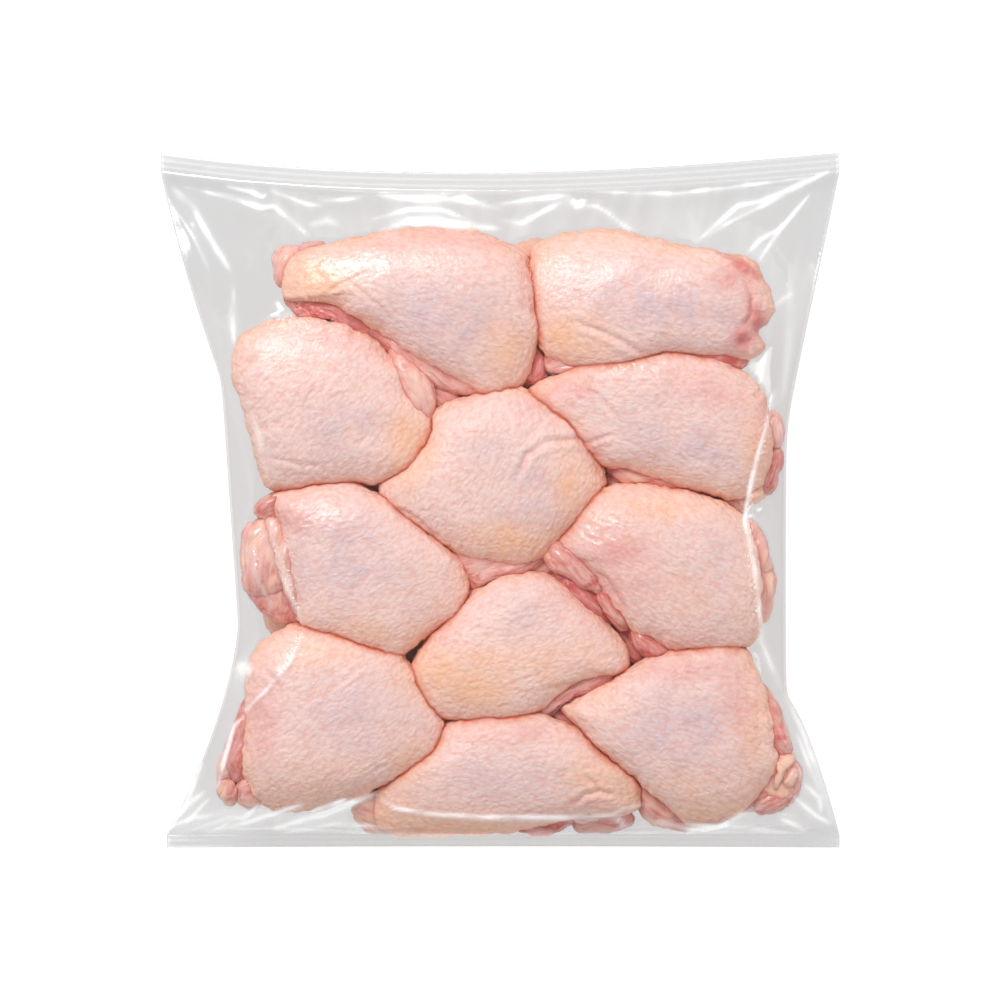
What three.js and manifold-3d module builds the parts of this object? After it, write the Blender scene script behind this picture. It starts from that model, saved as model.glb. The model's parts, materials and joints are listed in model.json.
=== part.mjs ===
// A clear pillow bag, heat sealed at its top and bottom ends and packed with raw chicken thighs with back.
// Two layers of thighs lie in it, skin side out, and the bag lies flat with its front side up.
// Millimetres. +Z is up and +Y runs to the bag's top seal. The origin is on the surface that the bag lies on,
// under the middle of the bag's outer box.

import * as THREE from "three";
import { mergeVertices } from "three/addons/utils/BufferGeometryUtils.js";
import Module from "manifold-3d";

const wasm = await Module();
wasm.setup();

// The sealed film, lying flat: its outer box, and the waist where the thighs hold its two sides apart.
const CORNER_X = 187.5;
const CORNER_Y = 192;
const LEFT_SIDE = { waist: -148.9, lean: -0.068 }; // lean is the way it goes sideways for each millimetre up
const RIGHT_SIDE = { waist: 157, lean: 0 };
const TOP_SAG = 11.4; // the top seal's middle hangs this far below its corners
const TOP_CURVE_LEFT = 2.5; // how late the top edge bends up to its left corner
const TOP_CURVE_RIGHT = 1.65;
const BOTTOM_SAG = 1;
const TOP_SEAL = 11; // height of the sealed band
const BOTTOM_SEAL = 7;
const SEAL_THICK = 1.4;

// The corner that each side flares out to, where it starts to, how softly it bends there, and whether it
// bends on inwards, above 1, or outwards, below 1.
const FLARES = {
  topLeft: { corner: -187.5, from: 66, bend: 5, curve: 1 },
  topRight: { corner: 187.5, from: 42, bend: 16, curve: 1 },
  bottomLeft: { corner: -184, from: -68, bend: 5, curve: 1.32 },
  bottomRight: { corner: 187.5, from: -109, bend: 3, curve: 0.68 },
};

// Heights above the surface that the bag lies on.
const THIGH_TOP = 84;
const VALLEY_TOP = 64; // the filled bag between the front thighs
const VALLEY_BOTTOM = 13; // and between the back ones
const SIDE_FOLD = 40;
const TOP_SEAL_MIDDLE = 24;
const TOP_SEAL_CORNER = 10;
const BOTTOM_SEAL_MIDDLE = 26;
const BOTTOM_SEAL_CORNER = 12;
const FRONT_EDGE = 61; // where a front thigh is widest
const FRONT_UNDER = 40;
const BACK_EDGE = 20;
const BACK_TOP = 44;
const BACK_UNDER = -2; // the back thighs are pressed flat on the surface, at z = 0

// The bag's mesh: columns across it, closer together near its sides, and rows along it.
const COLUMNS = 20;
const ROWS = 22;

// Radii over which the full bag rolls in to its edges: tight at the waist and wide towards the seals.
const WAIST_ROLL = 24;
const CORNER_ROLL = 120;
const TOP_ROLL = 62;
const BOTTOM_ROLL = 26;

// The pile of thighs gets thinner towards both ends of the bag: where that starts, and the share left at
// the end itself.
const THINNING = {
  top: { from: 105, to: 168, keep: 0.6 },
  bottom: { from: -140, to: -190, keep: 0.6 },
};

// The front thighs, from the top row down. Each outline is a closed smooth curve through its points, and low
// is how far the thigh's crown lies below the highest one. The back layer has the same thighs mirrored.
const THIGHS = [
  // Upper left
  {
    low: 0.5,
    heart: [-40, 121],
    points: [[-111, 134], [-117, 117], [-104, 111], [-84, 105], [-53, 80], [-14, 61], [-1, 59], [14, 73],
      [20, 100], [12, 133], [-24, 150], [-68, 145]],
  },
  // Upper right
  {
    low: 1,
    backShift: [-22, -2],
    points: [[16, 115], [20, 140], [55, 147], [99, 139], [135, 132], [148, 106], [142, 84], [130, 79], [88, 81],
      [54, 72], [25, 80]],
  },
  // Second left
  {
    low: 1.6,
    points: [[-146, 81], [-131, 96], [-100, 98], [-71, 88], [-48, 65], [-38, 37], [-46, 17], [-82, 11],
      [-122, 9], [-137, 33]],
  },
  // Second right
  {
    low: 2.6,
    points: [[18, 58], [40, 71], [80, 78], [119, 75], [142, 59], [148, 33], [144, 11], [130, 2], [91, 11],
      [58, 26], [42, 41]],
  },
  // Middle
  {
    low: 0,
    points: [[-35, 49], [9, 60], [29, 51], [50, 38], [56, 12], [49, -7], [27, -27], [7, -34], [-27, -27],
      [-61, -3], [-60, 13], [-38, 34]],
  },
  // Third left
  {
    low: 2.2,
    points: [[-124, 2], [-87, 10], [-67, 4], [-50, -15], [-27, -29], [-20, -42], [-21, -62], [-59, -86],
      [-106, -67], [-114, -48], [-122, -12]],
  },
  // Third right
  {
    low: 1.2,
    points: [[32, -23], [54, 0], [83, 7], [116, 1], [135, -15], [142, -72], [130, -82], [99, -82], [76, -71],
      [57, -49]],
  },
  // Lower middle
  {
    low: 1.9,
    points: [[-13, -50], [25, -42], [60, -69], [69, -83], [68, -94], [32, -105], [18, -117], [-5, -122],
      [-39, -116], [-50, -98], [-41, -79]],
  },
  // Bottom left
  {
    low: 2,
    points: [[-136, -86], [-110, -70], [-83, -76], [-55, -88], [-34, -121], [-37, -143], [-63, -156],
      [-93, -167], [-126, -169], [-140, -148]],
  },
  // Bottom right
  {
    low: 2.1,
    points: [[37, -114], [86, -86], [127, -82], [142, -99], [150, -149], [135, -168], [110, -180], [84, -160],
      [50, -131]],
  },
  // Bottom middle
  {
    low: 4,
    points: [[-68, -165], [-35, -142], [-24, -125], [6, -121], [36, -128], [71, -158], [71, -170], [33, -175],
      [0, -181], [-44, -183]],
  },
];

// Meat, joint ends and folds that stand out past the skin: middle, half length, half width, turn in degrees,
// top height and half thickness.
const ENDS = [
  { at: [-118, 128], size: [12, 7], turn: 80, top: 66, thick: 12 },
  { at: [-100, 105], size: [18, 7], turn: -12, top: 66, thick: 12 },
  { at: [-55, 80], size: [38, 6], turn: -32, top: 66, thick: 10 },
  { at: [20, 78], size: [12, 8], turn: -70, top: 63, thick: 12 },
  { at: [42, 74], size: [15, 7], turn: 12, top: 66, thick: 12 },
  { at: [110, 80], size: [28, 6], turn: -4, top: 65, thick: 12 },
  { at: [149, 37], size: [12, 7], turn: 85, top: 61, thick: 14 },
  { at: [147, 20], size: [16, 6], turn: 78, top: 62, thick: 14 },
  { at: [-41, 56], size: [14, 7], turn: -70, top: 66, thick: 12 },
  { at: [72, 14], size: [26, 7], turn: -14, top: 64, thick: 12 },
  { at: [136, 5], size: [11, 8], turn: 10, top: 62, thick: 14 },
  { at: [-126, -30], size: [24, 14], turn: 84, top: 68, thick: 16 },
  { at: [-122, -54], size: [20, 14], turn: -30, top: 65, thick: 16 },
  { at: [-126, -4], size: [10, 7], turn: 20, top: 68, thick: 14 },
  { at: [0, -34], size: [32, 14], turn: 8, top: 67, thick: 14 },
  { at: [48, -48], size: [28, 8], turn: -44, top: 72, thick: 14 },
  { at: [81, -79], size: [11, 8], turn: -25, top: 70, thick: 12 },
  { at: [146, -44], size: [16, 5], turn: -80, top: 60, thick: 14 },
  { at: [50, -101], size: [26, 7], turn: 26, top: 68, thick: 12 },
  { at: [-146, -138], size: [25, 7], turn: 73, top: 64, thick: 16 },
  { at: [-140, -162], size: [10, 8], turn: 0, top: 62, thick: 14 },
  { at: [152, -124], size: [17, 7], turn: -66, top: 66, thick: 14 },
  { at: [159, -153], size: [10, 8], turn: 60, top: 60, thick: 14 },
  { at: [148, -164], size: [12, 8], turn: 0, top: 61, thick: 14 },
  { at: [86, -166], size: [22, 9], turn: -45, top: 62, thick: 12 },
  { at: [58, -140], size: [20, 7], turn: -42, top: 59, thick: 12 },
  { at: [-70, -172], size: [11, 9], turn: -30, top: 61, thick: 12 },
  { at: [54, -174], size: [20, 7], turn: 0, top: 64, thick: 12 },
];

const OUTLINE_STEPS = 26; // points around a front thigh
const FRONT_RINGS = 9;
const BACK_OUTLINE_STEPS = 18;
const BACK_RINGS = 7;
const END_STEPS = 8;
const END_RINGS = 6;
const THIGH_SQUARENESS = 0.78; // 1 is an ellipsoid, and less is flatter on top with steeper sides
const BACK_WIDTH = 0.9; // the back layer's share of the front one's width and length
const BACK_LENGTH = 0.95;

// Grows from 0 before a bend to the full distance past it, softly over the bend.
function pastBend(distance, softness) {
  return (distance + Math.sqrt(distance * distance + softness * softness)) / 2;
}

// The share of the way to its corner that a side has flared out at a distance past its bend.
function flared(distance, reach, { bend, curve }) {
  return Math.pow(Math.min(1, pastBend(distance, bend) / pastBend(reach, bend)), curve);
}

// X of one side at height y: its waist, plus the flares that reach its two corners.
function sideX(y, { waist, lean }, top, bottom) {
  const start = waist + lean * y;
  const up = flared(y - top.from, CORNER_Y - TOP_SEAL - top.from, top);
  const down = flared(bottom.from - y, CORNER_Y - BOTTOM_SEAL + bottom.from, bottom);
  return start + (top.corner - start) * up + (bottom.corner - start) * down;
}

const leftX = (y) => sideX(y, LEFT_SIDE, FLARES.topLeft, FLARES.bottomLeft);
const rightX = (y) => sideX(y, RIGHT_SIDE, FLARES.topRight, FLARES.bottomRight);

function topEdgeY(x) {
  const curve = x < 0 ? TOP_CURVE_LEFT : TOP_CURVE_RIGHT;
  return CORNER_Y - TOP_SAG * (1 - Math.pow(Math.abs(x) / CORNER_X, curve));
}

const bottomEdgeY = (x) => -CORNER_Y + BOTTOM_SAG * (1 - Math.pow(x / CORNER_X, 2));

// Where a row of the mesh lies between the bottom edge, 0, and the top edge, 1. The first and the last
// rows are the two sealed bands.
function rowShare(row) {
  const length = 2 * CORNER_Y;
  if (row === 0) return 0;
  if (row === ROWS) return 1;
  const inner = (row - 1) / (ROWS - 2);
  return THREE.MathUtils.lerp(BOTTOM_SEAL / length, 1 - TOP_SEAL / length, inner);
}

// A quarter round: 0 at an edge, rising to 1 at one radius in from it.
function rollIn(distance, radius) {
  const share = THREE.MathUtils.clamp(distance / radius, 0, 1);
  return Math.sqrt(1 - (1 - share) * (1 - share));
}

// How full the bag is, from 0 at its seals and sides to 1 in its middle.
function fullness(x, y, along) {
  const sideRoll = THREE.MathUtils.lerp(WAIST_ROLL, CORNER_ROLL, Math.pow(Math.abs(along), 4));
  const fromSide = Math.min(x - leftX(y), rightX(y) - x);
  const fromTop = topEdgeY(x) - TOP_SEAL - y;
  const fromBottom = y - bottomEdgeY(x) - BOTTOM_SEAL;
  return rollIn(fromSide, sideRoll) * rollIn(fromTop, TOP_ROLL) * rollIn(fromBottom, BOTTOM_ROLL);
}

// The share of its full height that the pile keeps at y.
function thinned(y) {
  const { from, to, keep } = y > 0 ? THINNING.top : THINNING.bottom;
  const share = THREE.MathUtils.clamp((y - from) / (to - from), 0, 1);
  return 1 - (1 - keep) * share * share;
}

// Height of the film's side fold, or of its seal, at a share of the bag's length.
function foldHeight(across, along) {
  const atTop = THREE.MathUtils.lerp(TOP_SEAL_MIDDLE, TOP_SEAL_CORNER, across * across);
  const atBottom = THREE.MathUtils.lerp(BOTTOM_SEAL_MIDDLE, BOTTOM_SEAL_CORNER, across * across);
  const seal = along > 0 ? atTop : atBottom;
  return THREE.MathUtils.lerp(SIDE_FOLD, seal, Math.pow(Math.abs(along), 5));
}

// The filled film as one closed pillow, without the thighs that stand out of it.
function pillow() {
  const shape = new THREE.BoxGeometry(2, 2, 2, COLUMNS, ROWS, 1);
  const position = shape.getAttribute("position");
  for (let i = 0; i < position.count; i++) {
    const across = Math.sin((Math.PI / 2) * position.getX(i));
    const share = rowShare(Math.round(((position.getY(i) + 1) / 2) * ROWS));
    const nearX = across * CORNER_X;
    const y = THREE.MathUtils.lerp(bottomEdgeY(nearX), topEdgeY(nearX), share);
    const x = THREE.MathUtils.lerp(leftX(y), rightX(y), (across + 1) / 2);
    const innerLow = BOTTOM_SEAL / (2 * CORNER_Y);
    const innerHigh = 1 - TOP_SEAL / (2 * CORNER_Y);
    const inner = (share - innerLow) / (innerHigh - innerLow);
    const along = THREE.MathUtils.clamp(2 * inner - 1, -1, 1);
    const full = fullness(x, y, along);
    const fold = foldHeight(across, along);
    const up = position.getZ(i) > 0;
    const face = THREE.MathUtils.lerp(fold, up ? VALLEY_TOP : VALLEY_BOTTOM, full);
    position.setXYZ(i, x, y, face + ((up ? 1 : -1) * SEAL_THICK) / 2);
  }
  return shape;
}

// A round lump whose widest level follows an outline. The sphere's own rings and steps are kept.
function lump(outlineAt, middle, steps, rings, edge, top, under) {
  const shape = new THREE.SphereGeometry(1, steps, rings);
  shape.rotateX(Math.PI / 2);
  const position = shape.getAttribute("position");
  const rim = new THREE.Vector3();
  for (let i = 0; i < position.count; i++) {
    const reach = Math.hypot(position.getX(i), position.getY(i));
    const height = position.getZ(i);
    const turn = Math.atan2(position.getY(i), position.getX(i)) / (2 * Math.PI);
    outlineAt((turn + 1) % 1, rim);
    const out = reach < 1e-6 ? 0 : Math.pow(reach, THIGH_SQUARENESS);
    const rise = Math.sign(height) * Math.pow(Math.abs(height), THIGH_SQUARENESS);
    const z = edge + (height > 0 ? rise * (top - edge) : rise * (edge - under));
    const y = middle.y + (rim.y - middle.y) * out;
    const settled = z > SIDE_FOLD ? SIDE_FOLD + (z - SIDE_FOLD) * thinned(y) : z;
    position.setXYZ(i, middle.x + (rim.x - middle.x) * out, y, settled);
  }
  return shape;
}

// A thigh's outline as a closed curve that runs counterclockwise, and its middle: its heart where it has one,
// or else the mean of its points. place puts a point of the outline where it belongs.
function outlineOf(points, heart, place) {
  const placed = points.map(place);
  if (THREE.ShapeUtils.isClockWise(placed)) placed.reverse();
  const curve = new THREE.CatmullRomCurve3(placed, true, "centripetal");
  const mean = placed.reduce((sum, p) => sum.add(p), new THREE.Vector3()).divideScalar(placed.length);
  return { curve, middle: heart ? place(heart) : mean };
}

function frontThigh({ low, points, heart }) {
  const { curve, middle } = outlineOf(points, heart, ([x, y]) => new THREE.Vector3(x, y, 0));
  const at = (t, target) => curve.getPointAt(t, target);
  return lump(at, middle, OUTLINE_STEPS, FRONT_RINGS, FRONT_EDGE, THIGH_TOP - low, FRONT_UNDER);
}

function backThigh({ points, heart, backShift = [0, 0] }) {
  const behind = ([x, y]) =>
    new THREE.Vector3(-BACK_WIDTH * (x + backShift[0]), BACK_LENGTH * (y + backShift[1]), 0);
  const { curve, middle } = outlineOf(points, heart, behind);
  const at = (t, target) => curve.getPointAt(t, target);
  return lump(at, middle, BACK_OUTLINE_STEPS, BACK_RINGS, BACK_EDGE, BACK_TOP, BACK_UNDER);
}

function endPiece({ at, size, turn, top, thick }) {
  const shape = new THREE.SphereGeometry(1, END_STEPS, END_RINGS);
  shape.rotateX(Math.PI / 2);
  shape.scale(size[0], size[1], thick);
  shape.rotateZ(THREE.MathUtils.degToRad(turn));
  shape.translate(at[0], at[1], top - thick);
  return shape;
}

function solidOf(shape) {
  shape.deleteAttribute("normal");
  shape.deleteAttribute("uv");
  const merged = mergeVertices(shape, 1e-4);
  const vertProperties = merged.getAttribute("position").array;
  const triVerts = new Uint32Array(merged.index.array);
  const solid = new wasm.Manifold(new wasm.Mesh({ numProp: 3, vertProperties, triVerts }));
  return solid;
}

function shapeOf(solid) {
  const mesh = solid.getMesh();
  const shape = new THREE.BufferGeometry();
  shape.setAttribute("position", new THREE.BufferAttribute(mesh.vertProperties, 3));
  shape.setIndex(new THREE.BufferAttribute(mesh.triVerts, 1));
  const flat = shape.toNonIndexed();
  flat.computeVertexNormals();
  return flat;
}

// Everything below the surface that the bag lies on is pressed flat.
function belowSurface() {
  const deep = 40;
  const block = new THREE.BoxGeometry(3 * CORNER_X, 3 * CORNER_Y, deep);
  block.translate(0, 0, -deep / 2);
  return block;
}

function bagSolid() {
  let solid = solidOf(pillow());
  const lumps = [...THIGHS.map(frontThigh), ...THIGHS.map(backThigh), ...ENDS.map(endPiece)];
  for (const shape of lumps) solid = solid.add(solidOf(shape));
  return solid.subtract(solidOf(belowSurface()));
}

const skin = new THREE.MeshStandardMaterial({ color: 0xe8c6bd, roughness: 0.35, metalness: 0 });
const bag = new THREE.Mesh(shapeOf(bagSolid()), skin);
bag.name = "bag";

const pack = new THREE.Group();
pack.add(bag);

export default pack;
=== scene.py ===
"""A clear sealed bag of raw chicken thighs, lying on its back: film, skin, bare meat and the stage."""
import itertools
import json
import math

import bmesh
import bpy
import numpy as np
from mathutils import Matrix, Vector, bvhtree

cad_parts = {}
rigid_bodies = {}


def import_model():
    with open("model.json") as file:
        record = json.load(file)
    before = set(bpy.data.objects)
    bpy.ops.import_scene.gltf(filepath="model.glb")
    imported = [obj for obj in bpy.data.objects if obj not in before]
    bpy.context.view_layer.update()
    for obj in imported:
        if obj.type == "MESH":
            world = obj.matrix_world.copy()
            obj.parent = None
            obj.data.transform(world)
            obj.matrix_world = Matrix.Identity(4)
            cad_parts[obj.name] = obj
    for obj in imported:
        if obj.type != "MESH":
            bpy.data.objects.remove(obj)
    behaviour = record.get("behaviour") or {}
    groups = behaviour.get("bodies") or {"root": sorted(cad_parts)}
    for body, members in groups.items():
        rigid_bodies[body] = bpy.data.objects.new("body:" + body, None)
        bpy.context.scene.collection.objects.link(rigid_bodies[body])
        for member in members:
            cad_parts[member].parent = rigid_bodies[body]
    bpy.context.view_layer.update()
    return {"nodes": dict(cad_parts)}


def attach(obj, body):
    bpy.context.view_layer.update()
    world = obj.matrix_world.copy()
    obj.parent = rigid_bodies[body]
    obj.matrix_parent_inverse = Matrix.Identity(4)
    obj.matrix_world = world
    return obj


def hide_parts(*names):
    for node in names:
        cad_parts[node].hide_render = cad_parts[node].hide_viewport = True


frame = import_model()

bl_info = {
    "name": "Bag of Chicken Thighs",
    "version": (1, 0, 0),
    "blender": (4, 5, 0),
    "location": "View3D > Sidebar > Thighs",
    "description": "Builds a sealed clear bag of raw chicken thighs around its packed frame",
    "category": "Add Mesh",
}

MM = 0.001

# The bag, in millimetres: corners, the pinched waist, the sag of its two ends and its sealed bands.
CORNER_X = 187.5
CORNER_Y = 192.0
LEFT_SIDE = (-148.9, -0.068)
RIGHT_SIDE = (157.0, 0.0)
TOP_SAG = 11.4
TOP_CURVES = (2.5, 1.65)
BOTTOM_SAG = 1.0
TOP_SEAL = 11.0
BOTTOM_SEAL = 7.0
FLARES = {
    "top_left": (-187.5, 66, 5, 1.0),
    "top_right": (187.5, 42, 16, 1.0),
    "bottom_left": (-184.0, -68, 5, 1.32),
    "bottom_right": (187.5, -109, 3, 0.68),
}
SIDE_FOLD = 40.0
TOP_SEAL_MIDDLE = 24.0
TOP_SEAL_CORNER = 10.0
BOTTOM_SEAL_MIDDLE = 26.0
BOTTOM_SEAL_CORNER = 12.0

# Heights of the two layers of thighs: where a thigh is widest, its outer face and its inner face.
FRONT_LAYER = {"edge": 61.0, "outer": 83.2, "inner": 40.0, "side": 1}
BACK_LAYER = {"edge": 20.0, "outer": -2.0, "inner": 44.0, "side": -1}
# How far below its top a piece of meat is widest, and how far down it reaches.
MEAT_RIM = 11.0
MEAT_ROOT = 24.0
# The back layer's share of the front one's width and length, and the thigh that lies elsewhere in it.
BACK_WIDTH = 0.9
BACK_LENGTH = 0.95
BACK_SHIFT = {"upper_right": (-22, -2)}
FLOOR_GAP = 0.7
PRESS = 1.6
CROWN_SHARE = 0.62
DOME_SQUARE = 3.0
EDGE_RIPPLE = 1.6
# How far the painted contact shade reaches from a neighbour, and the share of that reach on the piece
# that lies over it.
CONTACT_SHADE_REACH = 6.5
CONTACT_SHADE_OVER = 0.4
THINNING = {"top": (105, 168, 0.6), "bottom": (-140, -190, 0.6)}

# Each front thigh: how far its crown lies under the highest, which also settles which of two lies over
# the other, the way its wrinkles run in degrees, and its outline in millimetres. A third number is how
# far that stretch runs on under a neighbour.
THIGHS = {
    "upper_left": (0.5, -20, [
        (-111, 134), (-117, 123), (-117, 112), (-104, 111), (-92, 109), (-84, 106), (-69, 96),
        (-52, 83), (-33, 71), (-14, 61), (-1, 59, 4), (8, 63, 2), (14, 73, 1), (19, 88, 2),
        (20, 100, 3), (17, 118, 3), (12, 133, 2), (-2, 143), (-24, 150), (-45, 148), (-68, 145),
        (-90, 140)]),
    "upper_right": (1.0, -8, [
        (16, 115), (16, 128), (20, 140), (34, 145), (55, 147), (77, 144), (99, 139), (120, 136),
        (135, 132), (145, 120), (148, 106), (146, 99), (141, 94), (143, 85), (139, 80), (130, 79),
        (112, 80), (88, 81), (70, 75, 3), (54, 72, 2), (38, 74), (25, 80), (19, 96)]),
    "second_left": (1.6, 50, [
        (-145, 81), (-131, 96), (-100, 98), (-72, 87), (-57, 75), (-49, 58), (-40, 38, 5),
        (-46, 17, 1), (-64, 12), (-82, 11, 1), (-122, 9, 2), (-130, 14), (-135, 33), (-142, 57),
        (-145, 70)]),
    "second_right": (2.6, -12, [
        (18, 58, 5), (40, 71), (58, 76, 4), (80, 78, 4), (98, 79, 4), (119, 75, 3), (136, 66),
        (142, 59), (148, 33), (144, 11), (130, 2), (110, 5), (91, 11), (72, 18), (58, 26, 6),
        (42, 41, 9)]),
    "middle": (0, 60, [
        (-35, 49), (-16, 56), (9, 60), (29, 51), (50, 38), (56, 12), (49, -7), (27, -27), (7, -34),
        (-12, -32), (-27, -27), (-50, -11), (-61, -3), (-66, 6), (-60, 13), (-48, 17, 3), (-38, 34)]),
    "third_left": (1.5, 25, [
        (-124, 2), (-110, 7), (-87, 9), (-68, 3), (-50, -15, 5), (-27, -29, 1), (-19, -43), (-20, -60),
        (-31, -69), (-46, -78), (-59, -86), (-88, -74, 2), (-106, -67, 2), (-114, -48), (-119, -28),
        (-122, -12)]),
    "third_right": (1.2, -35, [
        (32, -23, 3), (54, 0, 4), (83, 7), (113, 1), (126, -5), (135, -14), (141, -42), (142, -72),
        (130, -82), (99, -82), (76, -71), (66, -62), (57, -49), (45, -34)]),
    "lower_middle": (2.3, 15, [
        (-11, -50), (5, -42), (25, -42), (44, -55), (60, -69), (69, -83), (68, -94), (54, -96),
        (32, -105), (18, -117), (-5, -122), (-39, -116), (-50, -98), (-41, -79), (-29, -69, 2),
        (-20, -60)]),
    "bottom_left": (2.0, 35, [
        (-136, -86), (-110, -70, 2), (-83, -76, 3), (-55, -88, 2), (-48, -106, 5), (-34, -121, 2),
        (-37, -143), (-63, -156), (-93, -167), (-126, -169), (-140, -148), (-139, -113)]),
    "bottom_right": (2.1, -25, [
        (37, -114, 2), (61, -100, 0), (86, -86), (127, -82, 3), (142, -99), (149, -130), (150, -149),
        (135, -168), (110, -180), (97, -172), (84, -160), (71, -150), (50, -131), (41, -122)]),
    "bottom_middle": (4, 5, [
        (-68, -165), (-56, -154, 3), (-35, -142, 5), (-24, -125, 2), (6, -121, 5), (36, -128, 3),
        (55, -143, 3), (71, -158, 5), (71, -170), (33, -175), (0, -181), (-44, -183), (-63, -180)]),
}

# Middles that the points of a thigh spread from, where the mean of its outline is a poor one.
HEARTS = {"upper_left": (-40, 121)}

# Creases pressed into the skin: points, half width and depth.
CREASES = [
    ([(8, 8), (14, 24), (26, 32), (42, 33), (50, 29)], 1.6, 0.9),
    ([(-96, 112), (-88, 118), (-76, 123), (-66, 126)], 1.2, 0.7),
    ([(-88, 121), (-78, 116), (-68, 108), (-60, 98)], 1.4, 0.4),
    ([(40, 98), (56, 92), (68, 86), (80, 79)], 1.6, 0.8),
    ([(100, 137), (118, 131), (132, 127), (141, 118)], 1.3, 0.9),
    ([(133, 124), (139, 112), (138, 102), (132, 94)], 1.4, 0.9),
    ([(130, 86), (135, 86), (139, 86)], 3.0, 1.4),
    ([(40, 66), (52, 58), (60, 50), (66, 44)], 1.4, 0.6),
    ([(48, 31), (56, 34), (64, 36)], 1.2, 0.5),
    ([(-128, 24), (-112, 20), (-96, 18)], 1.5, 0.4),
    ([(-58, -4), (-50, -8), (-42, -14), (-34, -22)], 1.4, 0.6),
    ([(50, -38), (58, -44), (64, -54), (70, -62)], 1.5, 0.7),
    ([(60, -96), (48, -100), (36, -102), (24, -104)], 1.5, 0.6),
    ([(-130, -92), (-124, -98), (-118, -108)], 1.5, 0.4),
    ([(40, -168), (46, -162), (54, -160), (64, -162)], 1.4, 0.9),
    ([(44, -150), (52, -156), (56, -162)], 1.3, 0.5),
    ([(128, -92), (136, -104), (142, -120), (144, -136)], 1.6, 0.5),
]

# Tints of the skin: middle, half length and half width in millimetres, turn in degrees and strength.
TINTS = {
    "lilac": [
        (-30, 100, 38, 24, -20, 0.8), (90, 105, 48, 20, -5, 0.8), (-92, 38, 38, 20, 20, 0.6),
        (75, 50, 35, 16, -10, 0.5), (98, 30, 36, 20, -10, 0.7), (0, 30, 28, 18, 30, 0.4),
        (15, 5, 25, 22, 0, 0.6), (-85, -30, 34, 24, -10, 0.8), (112, -40, 26, 26, 0, 0.5),
        (15, -62, 26, 14, -20, 0.45), (-75, -122, 38, 26, 0, 0.7), (98, -125, 34, 28, 0, 0.8),
        (0, -150, 42, 16, 0, 0.6), (-100, 24, 30, 10, 0, 0.4)],
    "amber": [
        (4, 84, 14, 18, 0, 0.6), (-100, 120, 16, 12, 0, 0.9), (38, 88, 24, 14, 0, 0.7),
        (-50, 30, 14, 20, 0, 0.9), (95, 12, 40, 8, -14, 0.35), (140, 30, 8, 25, 0, 0.5),
        (42, 8, 12, 20, 0, 0.9), (5, -22, 34, 9, 0, 0.9), (-40, -45, 14, 20, 0, 0.05),
        (-70, -72, 28, 8, 0, 0.5), (88, -2, 34, 10, 0, 0.6), (135, -50, 8, 30, 0, 0.3),
        (-20, -98, 30, 18, 0, 0.9), (30, -90, 26, 14, 0, 0.6), (-50, -140, 16, 16, 0, 0.5),
        (-100, -85, 24, 8, 0, 0.4), (140, -125, 10, 28, 0, 0.5), (55, -112, 14, 8, 0, 0.4),
        (115, -172, 24, 7, 0, 0.4), (50, -150, 16, 14, 0, 0.5), (-30, -176, 36, 6, 0, 0.5),
        (100, -52, 18, 14, 0, 0.35), (105, -160, 26, 12, 0, 0.35), (-88, -154, 30, 12, 0, 0.35)],
    "rose": [
        (57, -35, 26, 26, -40, 0.55), (130, 122, 14, 8, 0, 0.5), (138, 95, 8, 10, 0, 0.7),
        (36, 58, 20, 7, 20, 0.45), (50, 30, 8, 8, 0, 0.5), (92, -76, 24, 5, 0, 0.35),
        (14, 122, 5, 14, 0, 0.6), (-95, 88, 30, 6, -10, 0.25), (-30, -70, 12, 8, 0, 0.2),
        (100, -92, 30, 8, 0, 0.35), (0, -128, 40, 6, 0, 0.3), (110, 62, 28, 10, -20, 0.3),
        (145, 40, 6, 24, 0, 0.35), (134, 128, 18, 3, -38, 0.9), (132, -110, 12, 20, 0, 0.3),
        (-115, -10, 12, 12, 0, 0.4), (-30, 142, 50, 8, 0, 0.3), (-130, -120, 8, 26, 0, 0.4)],
    "raw": [
        (133, 87, 8, 6, 15, 0.9), (139, 105, 4, 9, 20, 0.7), (141, 98, 4, 8, 10, 0.5),
        (62, 15, 14, 4, -20, 0.3), (100, 6, 24, 2, -14, 0.3), (-112, 136, 8, 2, 10, 0.4),
        (30, -177, 22, 3, 0, 0.4), (128, 74, 8, 2, 0, 0.5), (-60, 84, 20, 2, -36, 0.3),
        (136, 128, 8, 3, -40, 0.5), (47, -166, 10, 3, -5, 0.4)],
    "wet": [
        (-82, 128, 24, 11, 15, 1.0), (14, 96, 5, 8, 0, 0.9), (75, 74, 16, 6, 0, 1.0),
        (54, -22, 22, 13, 0, 1.0), (-100, -12, 26, 13, 0, 0.8), (35, 136, 14, 8, 0, 0.5),
        (30, 50, 14, 5, 0, 0.5)],
}

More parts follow.
